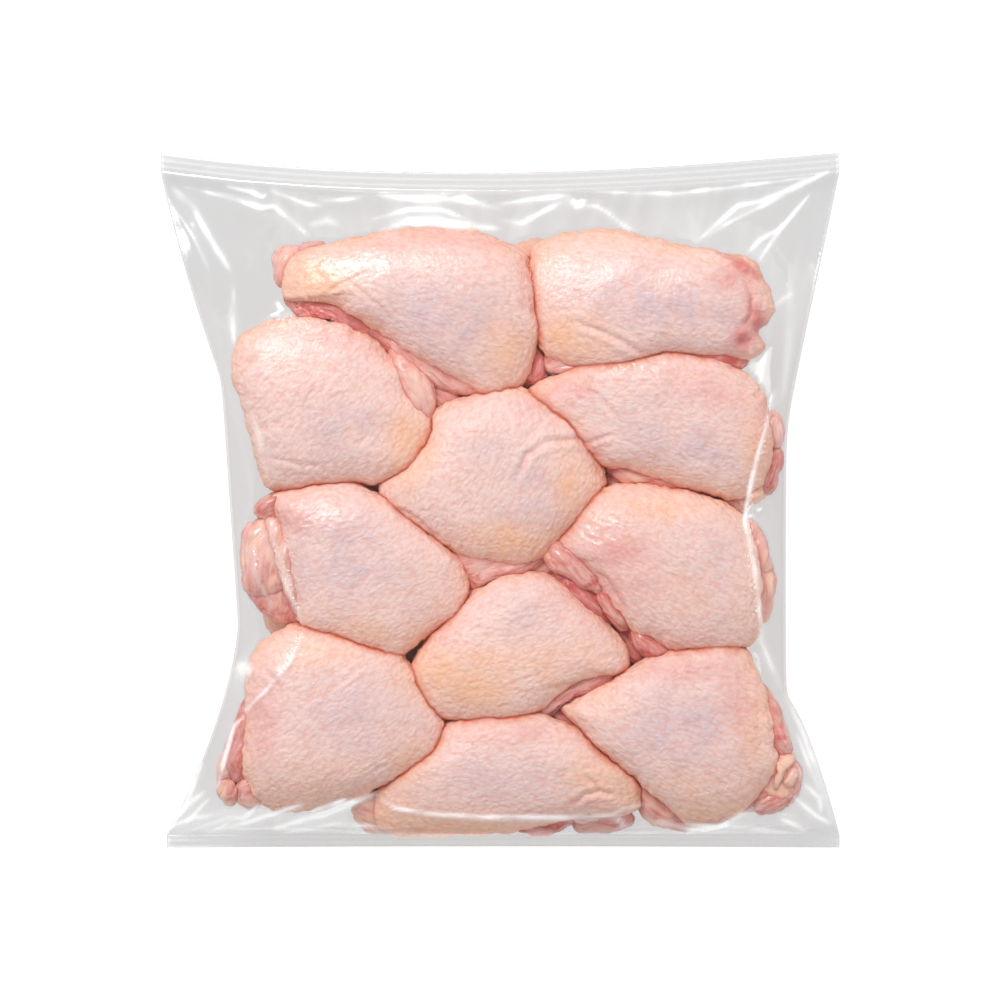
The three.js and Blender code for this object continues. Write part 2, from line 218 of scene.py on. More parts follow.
# Bare meat, fat and the undersides of thighs that show past the skin: top, how red it is from 0 to 1,
# how fatty, the way its fibres run in degrees, and its outline.
MEAT = {
    "upper_left_nub": (63, 0.2, 0.4, 80, [
        (-126, 134), (-121, 139), (-112, 141), (-98, 142), (-96, 134), (-104, 122), (-113, 114),
        (-119, 116), (-124, 121), (-126, 128)]),
    "upper_left_strip": (67, 0.95, 0.1, -25, [
        (-118, 114), (-117, 107), (-112, 101), (-104, 99), (-94, 98), (-80, 92), (-65, 85), (-60, 88),
        (-68, 98), (-80, 106), (-95, 114), (-110, 116)]),
    "upper_left_lip": (69, 0.4, 0.1, -32, [
        (-80, 99), (-66, 84), (-53, 74), (-45, 66), (-32, 60), (-20, 56), (-8, 56), (2, 60), (0, 70),
        (-30, 85), (-60, 98)]),
    "upper_middle": (63, 0.8, 0.0, 70, [
        (12, 94), (18, 88), (25, 78), (26, 68), (22, 63), (14, 62), (8, 66), (6, 76)]),
    "upper_right_lobe": (67, 0.4, 0.2, 15, [
        (24, 80), (24, 72), (30, 68), (40, 67), (50, 70), (58, 75), (50, 84), (35, 86)]),
    "upper_right_strip": (70, 0.75, 0.1, -4, [
        (75, 84), (80, 77), (95, 75), (108, 76), (120, 72), (131, 71), (137, 75), (141, 82), (136, 92),
        (110, 90)]),
    "second_left_flap": (73, 0.12, 0.3, -60, [
        (-62, 84), (-53, 82), (-45, 74), (-39, 66), (-35, 56), (-35, 47), (-38, 40), (-45, 40),
        (-52, 52), (-60, 68)]),
    "upper_gap": (62, 0.5, 0.1, -30, [
        (-46, 66), (-36, 68), (-24, 62), (-18, 55), (-26, 47), (-38, 46), (-46, 54)]),
    "middle_gap": (62, 0.5, 0.1, 20, [
        (14, -34), (22, -29), (31, -30), (34, -38), (27, -45), (16, -44)]),
    "second_right_end": (63, 0.15, 0.2, 85, [
        (146, 50), (152, 49), (156, 42), (157, 34), (154, 28), (146, 27), (140, 38)]),
    "second_right_end_low": (63, 0.75, 0.15, 80, [
        (145, 32), (153, 31), (156, 22), (153, 10), (148, 3), (141, 2), (136, 12), (140, 26)]),
    "second_right_fat": (65, 0.2, 0.7, 10, [
        (128, 9), (132, 1), (140, -2), (146, 1), (147, 8), (140, 13)]),
    "second_right_under": (58, 0.15, 0.2, -20, [
        (110, 8), (116, 0), (124, -6), (131, -9), (137, -6), (139, 2), (130, 9)]),
    "second_right_lip": (67, 0.75, 0.35, -18, [
        (48, 34), (54, 22), (60, 13), (72, 8), (86, 6), (103, 4), (116, 0), (118, 8), (92, 18),
        (70, 28)]),
    "second_right_root": (56, 0.5, 0.0, 0, [
        (52, 16), (56, 6), (64, 2), (76, 4), (78, 11), (66, 16)]),
    "middle_lip": (69, 0.4, 0.1, 20, [
        (-34, -20), (-28, -32), (-20, -42), (-14, -50), (-5, -46), (5, -42), (18, -40), (26, -34),
        (31, -25), (10, -16)]),
    "middle_low": (61, 0.45, 0.0, 70, [
        (-21, -44), (-16, -45), (-12, -50), (-13, -58), (-19, -61), (-25, -55)]),
    "third_left_end": (65, 0.5, 0.1, 80, [
        (-122, -4), (-132, -8), (-139, -16), (-141, -28), (-141, -42), (-139, -52), (-133, -62),
        (-122, -68), (-108, -70), (-102, -60), (-108, -30), (-112, -8)]),
    "third_left_pad": (70, 0.25, 0.3, 80, [
        (-126, -10), (-135, -10), (-141, -18), (-142, -38), (-140, -50), (-132, -54), (-120, -52),
        (-112, -44), (-116, -26)]),
    "third_left_strand": (73, 0.1, 0.45, 68, [
        (-129, -10), (-121, -8), (-114, -20), (-108, -40), (-106, -62), (-110, -67), (-116, -57),
        (-123, -36), (-128, -20)]),
    "third_left_ring": (69, 0.65, 0.3, 30, [
        (-118, 4), (-127, 3), (-134, -3), (-133, -9), (-125, -12), (-116, -6)]),
    "third_right_tip": (75, 0.55, 0.1, -46, [
        (25, -24), (31, -20), (40, -26), (50, -37), (58, -49), (56, -54), (48, -50), (38, -44),
        (28, -38), (23, -30)]),
    "third_right_strip": (69, 1.0, 0.0, -47, [
        (27, -36), (34, -36), (44, -42), (54, -52), (60, -62), (62, -71), (56, -69), (46, -61),
        (36, -51), (28, -43)]),
    "third_right_edge": (72, 0.6, 0.2, -50, [
        (50, -44), (58, -50), (66, -60), (71, -68), (67, -72), (60, -65), (52, -54)]),
    "third_right_corner": (69, 0.75, 0.1, -40, [
        (70, -68), (80, -72), (90, -79), (96, -86), (88, -88), (80, -87), (73, -79)]),
    "third_right_end": (62, 0.1, 0.3, 85, [
        (137, -10), (145, -18), (149, -28), (150, -38), (146, -44), (138, -40), (134, -26)]),
    "third_right_end_low": (61, 0.15, 0.4, 85, [
        (138, -38), (148, -34), (152, -44), (151, -56), (147, -66), (140, -70), (136, -54)]),
    "lower_middle_strip": (69, 0.6, 0.1, 28, [
        (69, -92), (61, -102), (48, -107), (36, -110), (30, -117), (22, -123), (15, -119), (24, -106),
        (45, -94), (62, -86)]),
    "lower_middle_root": (60, 0.7, 0.0, -30, [
        (27, -116), (36, -111), (41, -120), (46, -129), (38, -130), (30, -125), (24, -121)]),
    "bottom_left_end": (67, 0.8, 0.0, 76, [
        (-136, -108), (-144, -116), (-148, -128), (-151, -138), (-152, -150), (-146, -158),
        (-136, -152), (-132, -130)]),
    "bottom_left_edge": (64, 0.0, 0.4, 76, [
        (-144, -118), (-150, -132), (-155, -146), (-155, -157), (-149, -160), (-145, -140)]),
    "bottom_left_knob": (64, 0.35, 0.4, 60, [
        (-155, -154), (-156, -161), (-152, -166), (-147, -168), (-143, -163), (-145, -154),
        (-150, -150)]),
    "bottom_left_knob_low": (65, 0.35, 0.35, 20, [
        (-146, -158), (-145, -166), (-139, -170), (-132, -170), (-126, -162), (-132, -150),
        (-142, -148)]),
    "bottom_right_end": (67, 0.5, 0.3, -68, [
        (141, -100), (149, -106), (156, -118), (160, -130), (160, -139), (153, -142), (144, -136),
        (138, -118)]),
    "bottom_right_pad": (65, 0.3, 0.4, -60, [
        (140, -138), (150, -136), (160, -139), (165, -145), (167, -154), (164, -163), (158, -170),
        (148, -173), (138, -171), (134, -160)]),
    "bottom_right_sinew": (67, 0.05, 0.7, -62, [
        (148, -138), (154, -140), (160, -139), (162, -142), (158, -148), (155, -156), (152, -164),
        (148, -165), (148, -158), (151, -149)]),
    "bottom_right_knob": (66, 0.25, 0.4, 60, [
        (154, -152), (156, -147), (161, -146), (165, -149), (166, -154), (163, -159), (158, -160),
        (154, -157)]),
    "bottom_right_knob_low": (66, 0.5, 0.2, 20, [
        (142, -156), (150, -160), (158, -163), (160, -168), (152, -172), (144, -172), (137, -168)]),
    "bottom_right_hollow": (62, 0.4, 0.0, 30, [
        (130, -158), (140, -154), (147, -160), (144, -169), (136, -172), (128, -169)]),
    "lower_hollow": (57, 1.0, 0.0, -50, [
        (60, -66), (70, -68), (82, -76), (86, -84), (78, -92), (66, -90), (60, -80)]),
    "bottom_right_side": (59, 0.5, 0.1, -42, [
        (40, -128), (48, -135), (57, -144), (66, -153), (74, -158), (77, -150), (62, -132),
        (50, -124)]),
    "bottom_right_low": (62, 0.45, 0.3, -42, [
        (68, -150), (75, -162), (77, -171), (84, -178), (94, -181), (105, -181), (102, -168),
        (88, -154), (76, -144)]),
    "bottom_middle_nub": (62, 0.2, 0.5, -30, [
        (-81, -166), (-77, -161), (-66, -158), (-56, -170), (-60, -182), (-70, -183), (-77, -179),
        (-81, -172)]),
    "bottom_middle_oval": (70, 0.5, 0.1, -5, [
        (35, -170), (42, -164), (52, -162), (60, -166), (62, -172), (52, -176), (42, -176)]),
    "bottom_middle_strip": (60, 1.0, 0.0, 2, [
        (6, -178), (16, -173), (28, -171), (38, -171), (43, -178), (34, -182), (20, -184),
        (10, -183)]),
    "bottom_middle_low": (60, 0.5, 0.2, 4, [
        (40, -174), (54, -172), (66, -168), (72, -168), (74, -176), (66, -182), (52, -183),
        (43, -182)]),
}

# Folds of the film that catch the light: points, half width, whiteness (a painted highlight along the
# fold, in part the film's own milkiness) and height of the ridge.
FOLDS = [
    ([(-182, 174), (-170, 163), (-163, 150), (-156, 138), (-147, 124)], 1.7, 0.32, 1.0),
    ([(-184, 168), (-172, 150), (-160, 126)], 1.0, 0.15, 0.8),
    ([(-174, 173), (-150, 167), (-131, 161), (-125, 162), (-115, 154), (-105, 145)], 1.0, 0.45, 1.0),
    ([(-152, 173), (-137, 170), (-131, 167), (-128, 169)], 0.9, 0.4, 0.8),
    ([(-127, 171), (-106, 163), (-97, 162)], 0.9, 0.35, 0.8),
    ([(-101, 168), (-97, 165), (-81, 166), (-73, 169)], 0.8, 0.3, 0.7),
    ([(-71, 154), (-50, 160), (-32, 160), (-20, 155)], 0.9, 0.4, 0.9),
    ([(-68, 168), (-44, 166), (-20, 166), (0, 160)], 1.6, 0.5, 1.0),
    ([(-66, 147), (-50, 153), (-38, 153), (-24, 151), (0, 149)], 2.2, 0.55, 0.6),
    ([(-105, 151), (-95, 154), (-87, 150)], 1.8, 0.2, 0.8),
    ([(-146, 124), (-147, 100), (-145, 74)], 1.3, 0.2, 0.8),
    ([(-138, 55), (-134, 40), (-130, 24), (-126, 10)], 1.3, 0.2, 0.5),
    ([(-135, 46), (-129, 30), (-121, 10)], 1.1, 0.16, 0.4),
    ([(0, 163), (18, 166), (39, 168)], 1.1, 0.5, 0.9),
    ([(0, 154), (12, 152), (24, 159), (36, 165)], 1.1, 0.4, 0.9),
    ([(38, 167), (43, 162), (47, 166)], 1.3, 0.6, 0.9),
    ([(46, 162), (53, 162), (61, 157), (70, 149), (75, 147)], 1.2, 0.26, 0.6),
    ([(49, 170), (97, 169), (121, 172), (170, 178)], 0.9, 0.4, 0.7),
    ([(182, 182), (145, 165), (131, 162), (109, 143)], 1.0, 0.5, 1.0),
    ([(182, 181), (127, 153), (111, 144)], 0.9, 0.3, 0.9),
    ([(172, 170), (155, 150), (142, 131)], 1.0, 0.45, 1.0),
    ([(155, 150), (143, 143), (134, 134)], 0.9, 0.35, 0.9),
    ([(104, 168), (104, 143)], 4.0, 0.07, 0.3),
    ([(162, 114), (155, 110), (149, 105)], 0.9, 0.3, 0.7),
    ([(158, 132), (160, 104), (158, 76), (155, 50)], 1.5, 0.16, 0.7),
    ([(151, 60), (147, 44), (142, 27), (138, 11), (134, -11), (140, -39), (143, -66), (143, -77),
      (150, -93), (155, -104)], 1.0, 0.5, 1.0),
    ([(-107, -71), (-115, -89), (-128, -104), (-138, -114), (-143, -116)], 1.0, 0.28, 0.9),
    ([(-131, -12), (-122, -36), (-114, -54), (-107, -70)], 1.0, 0.26, 0.8),
    ([(-126, -16), (-120, -34), (-113, -50)], 0.7, 0.25, 0.5),
    ([(-137, -20), (-133, -44), (-124, -60)], 1.0, 0.18, 0.5),
    ([(-146, -91), (-141, -94), (-136, -96)], 4.2, 0.5, 0.9),
    ([(-137, -114), (-146, -124), (-151, -142), (-155, -158)], 0.9, 0.3, 0.7),
    ([(-164, -145), (-170, -160), (-175, -172)], 1.0, 0.3, 0.8),
    ([(-160, -164), (-168, -173), (-174, -180)], 0.9, 0.25, 0.8),
    ([(-181, -186), (-147, -174), (-142, -175), (-131, -167)], 1.2, 0.55, 1.1),
    ([(-124, -181), (-98, -173), (-68, -161)], 1.5, 0.6, 1.2),
    ([(-186, -183), (-170, -176), (-150, -172)], 1.1, 0.4, 0.8),
    ([(-183, -180), (-172, -168), (-162, -160)], 1.1, 0.35, 0.8),
    ([(-165, -183), (-140, -178), (-118, -170), (-108, -167)], 1.0, 0.4, 0.7),
    ([(-120, -184), (-90, -178), (-60, -180)], 1.0, 0.35, 0.5),
    ([(100, -178), (130, -180), (160, -184)], 1.0, 0.35, 0.5),
    ([(-104, -171), (-84, -164)], 0.8, 0.5, 0.6),
    ([(-174, -182), (-124, -181), (-62, -184), (0, -185), (60, -184), (120, -183),
      (176, -184)], 0.7, 0.35, 0.4),
    ([(-68, -161), (-58, -169), (-40, -172), (-9, -174), (33, -174), (46, -174), (61, -173), (68, -169),
      (79, -167)], 1.0, 0.42, 0.8),
    ([(63, -173), (69, -180)], 0.9, 0.4, 0.7),
    ([(86, -176), (104, -181), (119, -181), (131, -173), (145, -168)], 1.0, 0.4, 0.9),
    ([(154, -175), (170, -183)], 1.1, 0.45, 0.9),
    ([(167, -156), (176, -164), (177, -172)], 1.0, 0.4, 0.8),
    ([(160, -162), (174, -174), (183, -179)], 0.9, 0.4, 0.8),
    ([(156, -106), (166, -126), (175, -150), (184, -180)], 1.2, 0.3, 0.8),
    ([(163, -128), (170, -146), (176, -160)], 0.8, 0.25, 0.7),
]

# The film: the lines of its grid each way, how far it keeps off the contents, the least height of either
# sheet and of the lower one where it rests, and how far apart the two sheets' ripples are drawn.
FILM_COLUMNS = 210
FILM_ROWS = 222
FILM_GAP = 0.45
FILM_LEAST = 0.2
FILM_REST = 0.25
SHEETS_APART = 40.0

# The seals: half their thickness, the step from one raised line to the next, and how many of the grid's
# columns are milky at each side of the bag.
SEAL_HALF = 0.18
SEAL_STEP = 3.4
MILKY_COLUMNS = 3

# Levels in metres: where rays start under and over the bag, and where the width of the view is measured.
RAY_BELOW = -0.1
RAY_ABOVE = 0.2
VIEW_LEVEL = 0.05

# Only what lies higher than this many millimetres takes on the painted contact shade.
CONTACT_SHADE_ABOVE = 46

MEAT_DETAIL = 5
FLOOR_SIZE = 9.0
STUDIO_LIGHT = 0.79
SCRAMBLE_FACTORS = (73856093, 19349663, 83492791)
SCRAMBLE_SEED_FACTOR = 2654435761


def linear(red, green, blue):
    """Turns a colour read off a screen, from 0 to 255, into the light it stands for."""
    shares = (red / 255, green / 255, blue / 255)
    return tuple(c / 12.92 if c < 0.04045 else ((c + 0.055) / 1.055) ** 2.4 for c in shares)


def colour_setting(label, meaning, shade):
    """A colour that the sidebar shows."""
    return bpy.props.FloatVectorProperty(
        name=label, description=meaning, subtype="COLOR", size=3, min=0.0, max=1.0,
        default=linear(*shade))


def scramble(cells, seed):
    """Turns whole-number cells into numbers from 0 to 1 that look random and never change."""
    mixed = np.bitwise_xor.reduce(cells * SCRAMBLE_FACTORS, axis=1) ^ (seed * SCRAMBLE_SEED_FACTOR)
    mixed = ((mixed ^ (mixed >> 13)) & 0xFFFFFFFF) * 1274126177 & 0xFFFFFFFF
    return ((mixed ^ (mixed >> 16)) & 0xFFFFFF) / 0xFFFFFF


def waves(points, size, seed):
    """Smooth swells from about -1 to 1 that are about size apart."""
    scaled = points / size
    base = np.floor(scaled).astype(np.int64)
    share = scaled - base
    ease = share ** 3 * (share * (share * 6 - 15) + 10)
    total = np.zeros(len(points))
    for corner in itertools.product((0, 1), repeat=3):
        cell = base + corner
        lean = np.stack([scramble(cell, seed + axis) for axis in range(3)], 1) * 2 - 1
        weight = np.prod(np.where(corner, ease, 1 - ease), 1)
        total += weight * np.sum(lean * (share - corner), 1)
    return total * 1.6


def smooth_share(value, low, high):
    """Eases from 0 at low to 1 at high."""
    share = np.clip((value - low) / (high - low), 0, 1)
    return share * share * (3 - 2 * share)


def mix(low, high, share):
    return low + (high - low) * share


def turned(points, degrees):
    """Points turned about the upright axis."""
    angle = math.radians(degrees)
    x = points[:, 0] * math.cos(angle) + points[:, 1] * math.sin(angle)
    y = points[:, 1] * math.cos(angle) - points[:, 0] * math.sin(angle)
    return np.stack([x, y, points[:, 2]], 1)


def closed_curve(points, steps=24):
    """A smooth closed line through the points, as many steps to each."""
    line = []
    count = len(points)
    for index in range(count):
        p0, p1, p2, p3 = (np.array(points[(index + k) % count], float) for k in (-1, 0, 1, 2))
        t = np.linspace(0, 1, steps, endpoint=False)[:, None]
        line.append(0.5 * (2 * p1 + (p2 - p0) * t + (2 * p0 - 5 * p1 + 4 * p2 - p3) * t ** 2
                           + (3 * p1 - p0 - 3 * p2 + p3) * t ** 3))
    return np.concatenate(line)


def outline_of(marks, press, heart=None):
    """The outline's points, pushed outwards as far as they run under a neighbour."""
    places = np.array([mark[:2] for mark in marks], float)
    push = np.array([press + sum(mark[2:]) for mark in marks], float)
    along = np.roll(places, -1, 0) - np.roll(places, 1, 0)
    outward = np.stack([along[:, 1], -along[:, 0]], 1)
    outward /= np.linalg.norm(outward, axis=1)[:, None]
    middle = places.mean(0) if heart is None else np.array(heart, float)
    outward *= np.sign(np.sum(outward * (places - middle), 1))[:, None]
    return places + outward * push[:, None], middle


def thinned(y):
    """How much of its height a thigh keeps near the two ends of the bag."""
    keep = np.ones(len(y))
    for start, stop, least in THINNING.values():
        keep = keep * (1 - (1 - least) * np.clip((y - start) / (stop - start), 0, 1) ** 2)
    return keep


def new_ball(name, detail):
    """A piece that starts as a round ball."""
    made = bmesh.new()
    bmesh.ops.create_icosphere(made, subdivisions=detail, radius=1.0)
    return new_piece(name, made)


def new_piece(name, made):
    """Turns a finished bmesh into an object of the scene."""
    shape = bpy.data.meshes.new(name)
    made.to_mesh(shape)
    made.free()
    piece = bpy.data.objects.new(name, shape)
    bpy.context.scene.collection.objects.link(piece)
    shape.polygons.foreach_set("use_smooth", np.ones(len(shape.polygons), bool))
    return piece


def read_points(piece):
    points = np.empty(len(piece.data.vertices) * 3)
    piece.data.vertices.foreach_get("co", points)
    return points.reshape(-1, 3)


def place_points(piece, points):
    piece.data.vertices.foreach_set("co", np.ascontiguousarray(points).ravel())
    piece.data.update()


def facing(piece):
    """The direction that each point of a piece faces."""
    normals = np.empty(len(piece.data.vertices) * 3)
    piece.data.vertex_normals.foreach_get("vector", normals)
    return normals.reshape(-1, 3)


def paint(piece, name, values):
    """Keeps a number for each point, which the material reads by its name."""
    layer = piece.data.attributes.new(name, "FLOAT", "POINT")
    layer.data.foreach_set("value", np.asarray(values, np.float32))


def paint_places(piece, name, places):
    """Keeps a place for each point, which the material reads by its name."""
    layer = piece.data.attributes.new(name, "FLOAT_VECTOR", "POINT")
    layer.data.foreach_set("vector", np.asarray(places, np.float32).ravel())


def settle(piece, material):
    """Gives a piece its material and its place on the bag."""
    piece.data.materials.append(material)
    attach(piece, "root")


def body_in(unit, marks, layer, low, press, heart=None):
    """Moves the points of a ball to a body within an outline."""
    edge_line, middle = outline_of(marks, press, heart)
    offset = closed_curve(edge_line) - middle
    angles = np.arctan2(offset[:, 1], offset[:, 0])
    order = np.argsort(angles)
    turn = np.arctan2(unit[:, 1], unit[:, 0])
    line_turns, line_reaches = angles[order], np.hypot(*offset[order].T)

    def reach_at(way):
        return np.interp(way, line_turns, line_reaches, period=2 * math.pi)

    reach = reach_at(turn)
    round_line = np.stack([np.cos(turn) * reach, np.sin(turn) * reach, middle[0] + 0 * turn], 1)
    reach = reach + waves(round_line, 13, 31) * EDGE_RIPPLE
    reach = reach + waves(round_line, 5, 35) * EDGE_RIPPLE * 0.5
    wide = np.linspace(-0.5, 0.5, 11)
    eased = np.mean([reach_at(turn + step) for step in wide], axis=0)
    fall = np.arccos(np.clip(unit[:, 2], -1, 1)) / math.pi
    upper = np.clip(fall / CROWN_SHARE, 0, 1) * math.pi / 2
    lower = np.clip((fall - CROWN_SHARE) / (1 - CROWN_SHARE), 0, 1) * math.pi / 2
    crown = fall <= CROWN_SHARE
    out = np.where(crown, np.sin(upper) ** 0.9, np.cos(lower) ** 0.7)
    outer = layer["outer"] - layer["side"] * low
    height = np.where(
        crown,
        mix(layer["edge"], outer, (1 - np.clip(out, 0, 1) ** DOME_SQUARE) ** 0.5),
        mix(layer["edge"], layer["inner"], np.sin(lower) ** 0.7))
    reach = mix(eased, reach, out ** 3)
    x = middle[0] + np.cos(turn) * reach * out
    y = middle[1] + np.sin(turn) * reach * out
    return np.stack([x, y, height], 1)


def tint_share(points, name):
    """How strongly a tint shows at each point."""
    share = np.zeros(len(points))
    for x, y, length, width, turn, strength in TINTS[name]:
        away = turned(points - (x, y, 0), turn)
        reach = (away[:, 0] / length) ** 2 + (away[:, 1] / width) ** 2
        share = np.maximum(share, strength * np.exp(-0.9 * reach ** 1.3))
    return share


def skin_relief(points, grain, seed):
    """Height of the skin's swells and wrinkles, the wrinkles alone from 0 to 1, and their places."""
    swell = waves(points, 40, seed) * 1.3 + waves(points, 16, seed + 5) * 0.6
    bent = points + np.stack([waves(points, 18, seed + k) for k in (11, 14, 17)], 1) * 3.5
    run = turned(bent, grain) * (0.45, 1.0, 0.7)
    folds = 1 - np.abs(waves(run, 5.5, seed + 21)) * 2.4
    lines = waves(run * (1.4, 1, 1), 2.6, seed + 27)
    where = smooth_share(waves(points, 26, seed + 33), -0.3, 0.5)
    fine = waves(points, 1.8, seed + 47)
    relief = swell + folds * where * 0.34 + lines * (0.3 + 0.7 * where) * 0.26 + fine * 0.2
    loose = points + np.stack([waves(points, 9, seed + k) for k in (51, 54, 57)], 1) * 1.6
    flow = turned(loose, grain) * (0.7, 1.05, 0.8)
    return relief, np.clip(0.5 + 0.5 * lines + 0.3 * fine + 0.2 * folds * where, 0, 1), flow


def thinned_rise(points):
    """Lowers what stands above the bag's middle towards its two ends."""
    rise = points[:, 2] - SIDE_FOLD
    return SIDE_FOLD + np.where(rise > 0, rise * thinned(points[:, 1]), rise)


def thigh(name, marks, grain, low, layer, detail, seed):
    """One thigh in its skin."""
    piece = new_ball(name, detail)
    heart = HEARTS.get(name.replace("back_thigh_", "").replace("thigh_", ""))
    points = body_in(read_points(piece), marks, layer, low, PRESS, heart)
    dent = np.zeros(len(points))
    for line, width, depth in CREASES:
        gap, part = line_distance(points[:, 0], points[:, 1], line)
        groove = np.exp(-(gap / width) ** 2) - 0.4 * np.exp(-(gap / width - 2.3) ** 2)
        dent = dent + 1.5 * depth * groove * np.clip(np.minimum(part, 1 - part) * 5 + 0.1, 0, 1)
    tints = {tint: tint_share(points, tint) for tint in TINTS}
    if layer["side"] > 0:
        points[:, 2] = thinned_rise(points)
    else:
        points[:, :2] += BACK_SHIFT.get(name.replace("back_thigh_", ""), (0, 0))
        points[:, 0] *= -BACK_WIDTH
        points[:, 1] *= BACK_LENGTH
    place_points(piece, points)
    if layer["side"] < 0:
        turn_inside_out_if_needed(piece)
    relief, bump, flow = skin_relief(points, grain, seed)
    outer = layer["outer"] - layer["side"] * low
    rim = smooth_share((outer - points[:, 2]) / (outer - layer["edge"]), 0.35, 0.9)
    grains = waves(points, 3.4, seed + 61) * 0.55 + waves(points, 7, seed + 67) * 0.5
    points = points + facing(piece) * (relief - dent + rim * grains)[:, None]
    points[:, 2] = np.maximum(points[:, 2], FLOOR_GAP + 0.15 * waves(points, 8, seed + 50))
    paint(piece, "depth", (outer - points[:, 2]) / (outer - layer["edge"]))
    paint(piece, "bump", bump)
    paint(piece, "grains", rim * grains)
    paint_places(piece, "flow", flow * MM)
    for tint, share in tints.items():
        paint(piece, tint, share)
    place_points(piece, points * MM)
    return piece


def paint_contact_shade(pieces, ranks, others=()):
    """Paints how close each point of the pieces lies to another, further from one that lies over it; the
    material turns this closeness into painted shade where pieces meet.
    """
    graph = bpy.context.evaluated_depsgraph_get()
    reach = CONTACT_SHADE_REACH * MM
    known = [*pieces, *others]
    trees = [bvhtree.BVHTree.FromObject(piece, graph) for piece in known]
    boxes = [(read_points(piece).min(0) - reach, read_points(piece).max(0) + reach) for piece in known]
    for piece, rank in zip(pieces, ranks):
        points = read_points(piece)
        close = np.zeros(len(points))
        for other, other_rank, tree, (low, high) in zip(known, ranks, trees, boxes):
            if other is piece:
                continue
            span = reach if other_rank < rank else reach * CONTACT_SHADE_OVER
            near = np.all((points > low) & (points < high), axis=1) & (points[:, 2] > CONTACT_SHADE_ABOVE * MM)
            for index in np.nonzero(near)[0]:
                found = tree.find_nearest(points[index], span)
                if found[3] is not None:
                    close[index] = max(close[index], 1 - found[3] / span)
        paint(piece, "contact", close)


def turn_inside_out_if_needed(piece):
    """Makes all faces of a closed piece point outwards."""
    made = bmesh.new()
    made.from_mesh(piece.data)
    bmesh.ops.recalc_face_normals(made, faces=made.faces)
    made.to_mesh(piece.data)
    made.free()


def bare_meat(name, marks, top, red, fat, turn, detail, seed):
    """One end, strip or knob of bare meat or fat, its fibres running along it."""
    piece = new_ball(name, detail)
    layer = {"edge": top - MEAT_RIM, "outer": top, "inner": top - MEAT_ROOT, "side": 1}
    points = body_in(read_points(piece), marks, layer, 0, 0)
    points[:, 2] = thinned_rise(points)
    place_points(piece, points)
    bent = points + np.stack([waves(points, 14, seed + k) for k in (3, 5, 7)], 1) * 2.0
    run = turned(bent, turn)
    fibre = waves(run * (0.16, 1.0, 1.0), 2.2, seed + 9)
    lump = waves(run * (0.5, 1.0, 1.0), 8, seed + 15)
    cleft = np.clip(1 - np.abs(waves(run * (0.2, 1.0, 1.0), 7, seed + 27)) * 4, 0, 1)
    points = points + facing(piece) * (fibre * 0.4 + lump * 1.2 - cleft * 0.6)[:, None]
    paint_places(piece, "flow", run * (0.3, 1.0, 1.0) * MM)
    paint(piece, "red", np.clip(red + 0.3 * lump + 0.3 * cleft, 0, 1))
    paint(piece, "fat", np.clip(fat + 0.5 * waves(run * (0.4, 1, 1), 6, seed + 21), 0, 1))
    paint(piece, "depth", (top - points[:, 2]) / MEAT_RIM)
    place_points(piece, points * MM)
    return piece


class Value:
    """A socket of a material that can stand in sums."""

    def __init__(self, finish, socket):
        self.finish = finish
        self.socket = socket

    def joined(self, operation, first, second):
        return self.finish.node("Math", {"operation": operation}, {0: first, 1: second})

    def __add__(self, other):
        return self.joined("ADD", self, other)

    def __sub__(self, other):
        return self.joined("SUBTRACT", self, other)

    def __rsub__(self, other):
        return self.joined("SUBTRACT", other, self)

    def __mul__(self, other):
        return self.joined("MULTIPLY", self, other)

    __radd__ = __add__
    __rmul__ = __mul__

    def eased(self, low, high):
        """Eases from 0 at low to 1 at high."""
        sockets = {"Value": self, "From Min": low, "From Max": high}
        return self.finish.node("MapRange", {"interpolation_type": "SMOOTHSTEP"}, sockets)


class Finish:
    """A material in the making."""

    def __init__(self, name):
        self.material = bpy.data.materials.new(name)
        self.material.use_nodes = True
        self.material.node_tree.nodes.clear()

    def node(self, kind, settings=None, sockets=None, out=0):
        """Adds a node: its settings first, then what its sockets hold or take from other nodes."""
        tree = self.material.node_tree
        made = tree.nodes.new("ShaderNode" + kind)
        for name, setting in (settings or {}).items():
            setattr(made, name, setting)
        for name, value in (sockets or {}).items():
            socket = made.inputs[name]
            if isinstance(value, Value):
                tree.links.new(value.socket, socket)
            elif isinstance(value, tuple) and len(value) == 3 and len(socket.default_value) == 4:
                socket.default_value = (*value, 1.0)
            else:
                socket.default_value = value
        return Value(self, made.outputs[out])

    def place(self):
        return self.node("TexCoord", out=3)

    def painted(self, name):
        """The number that paint kept under this name."""
        return self.node("Attribute", {"attribute_name": name}, out=2)

    def painted_place(self, name):
        """The place that paint_places kept under this name."""
        return self.node("Attribute", {"attribute_name": name}, out=1)

    def noise(self, per_metre, detail=2.0, roughness=0.5, vector=None):
        return self.node("TexNoise", {}, {
            "Vector": vector or self.place(), "Scale": per_metre, "Detail": detail,
            "Roughness": roughness})

    def blend(self, share, first, second):
        """One colour laid over another."""
        return self.node("Mix", {"data_type": "RGBA"}, {0: share, 6: first, 7: second}, out=2)

    def washed(self, colour, washes, colours):
        """A colour with colours of the settings laid over it, each by its own share."""
        for name, share in washes:
            colour = self.blend(share, colour, tuple(getattr(colours, name)))
        return colour

    def bump(self, height, strength, distance):
        return self.node("Bump", {}, {"Height": height, "Strength": strength, "Distance": distance})

    def surface(self, shader):
        output = self.material.node_tree.nodes.new("ShaderNodeOutputMaterial")
        self.material.node_tree.links.new(shader.socket, output.inputs["Surface"])
        return self.material


